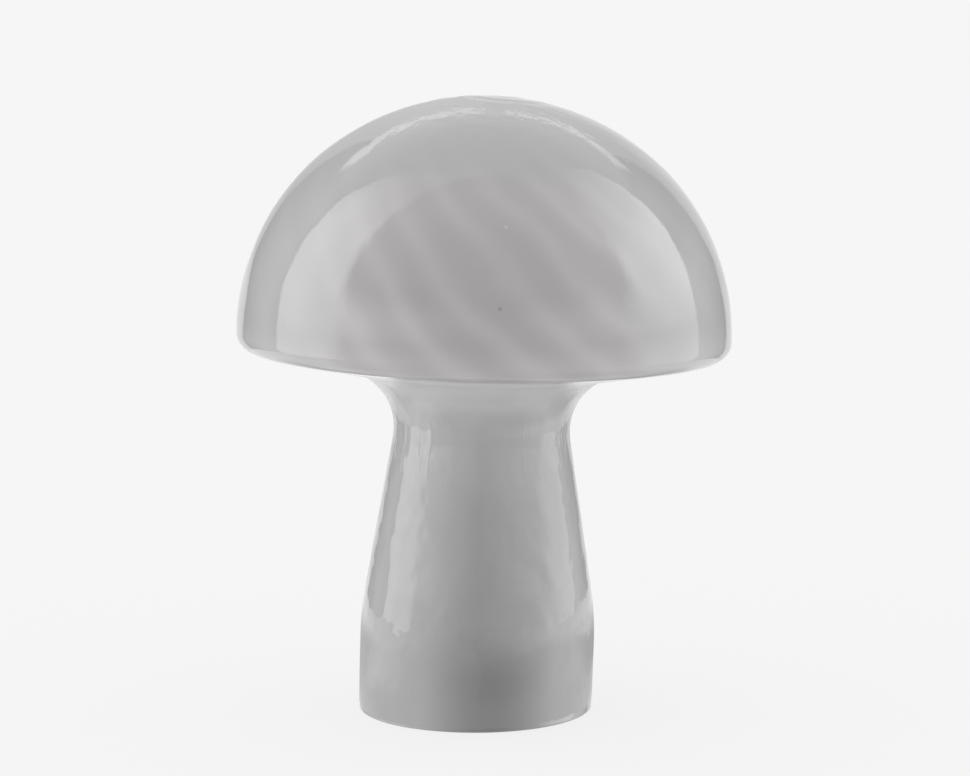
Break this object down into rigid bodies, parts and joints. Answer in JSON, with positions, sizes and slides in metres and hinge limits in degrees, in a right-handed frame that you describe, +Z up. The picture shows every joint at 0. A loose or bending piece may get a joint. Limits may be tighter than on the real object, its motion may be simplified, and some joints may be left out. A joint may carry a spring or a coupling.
{
  "type": "mushroom table lamp",
  "caption": "Blown opal glass lamp, cap and stem in one piece, over a base fixture with clips, lampholder and small screw bulb.",
  "frame": {"origin": "on the table under the fixture's axis; the glass leans 1.35 degrees to +X, so its foot stands 1.8 mm to -X of that axis and the cap's middle 1.4 mm to +X of it, and the outline's middle is within 1.5 mm", "axes": "+Z up along the fixture's axis, -Y the front, +Y the rear with the cord inlet"},
  "size_m": [0.1843, 0.1844, 0.2299],
  "materials": {
    "opal_glass": "blown opal glass, glossy, under a clear casing",
    "pan_paint": "white powder coat",
    "trim_rubber": "matte",
    "inlet_rubber": "matte grey",
    "spring_steel": "tempered strip",
    "sleeve_silicone": "translucent silicone",
    "rivet_steel": "plated",
    "zinc_tube": "zinc plated thread",
    "bush_plastic": "matte",
    "washer_steel": "zinc plated",
    "nut_steel": "zinc plated",
    "spacer_paint": "white powder coat",
    "holder_plastic": "white thermoplastic",
    "insert_ceramic": "white",
    "contact_brass": "bright strip",
    "terminal_brass": "turned",
    "screw_steel": "zinc plated",
    "bulb_cap_metal": "rolled",
    "black_glass": "black glass button",
    "solder_metal": "solder",
    "clear_bulb_glass": "clear",
    "lead_metal": "wire",
    "filament_metal": "coiled wire"
  },
  "bodies": {
    "fixture": {"base_pan": "pan_paint", "base_trim_ring": "trim_rubber", "cord_grommet": "inlet_rubber", "spring_clip_1": "spring_steel", "spring_clip_2": "spring_steel", "spring_clip_3": "spring_steel", "clip_sleeve_1": "sleeve_silicone", "clip_sleeve_2": "sleeve_silicone", "clip_sleeve_3": "sleeve_silicone", "clip_rivets": "rivet_steel", "stem_tube": "zinc_tube", "tube_bush": "bush_plastic", "lower_washer": "washer_steel", "lock_washer": "washer_steel", "lower_locknut": "nut_steel", "upper_washer": "washer_steel", "upper_locknut": "nut_steel", "spacer_tube": "spacer_paint", "holder_cap": "holder_plastic", "grub_screw": "screw_steel", "holder_skirt": "holder_plastic", "holder_insert": "insert_ceramic", "screw_shell": "contact_brass", "centre_contact": "contact_brass", "terminal_blocks": "terminal_brass", "terminal_screws": "screw_steel"},
    "glass": {"glass_body": "opal_glass"},
    "bulb_base": {"bulb_insulator": "black_glass", "bulb_contact": "solder_metal"},
    "bulb": {"bulb_cap": "bulb_cap_metal", "bulb_globe": "clear_bulb_glass", "bulb_mount": "clear_bulb_glass", "lead_wires": "lead_metal", "filament": "filament_metal"}
  },
  "joints": [
    {"name": "glass_lift", "type": "slide", "parent": "fixture", "child": "glass", "axis": [0, 0, 1], "range_m": [0, 0.2]},
    {"name": "bulb_rise", "type": "slide", "parent": "fixture", "child": "bulb_base", "axis": [0, 0, 1], "range_m": [0, 0.01413]},
    {"name": "bulb_turn", "type": "hinge", "parent": "bulb_base", "child": "bulb", "pos_m": [0, 0, 0], "axis": [0, 0, 1], "range_deg": [0, 1800]}
  ],
  "couplings": [
    {"joint": "bulb_rise", "follows": "bulb_turn", "m_per_rad": 0.00044914}
  ]
}
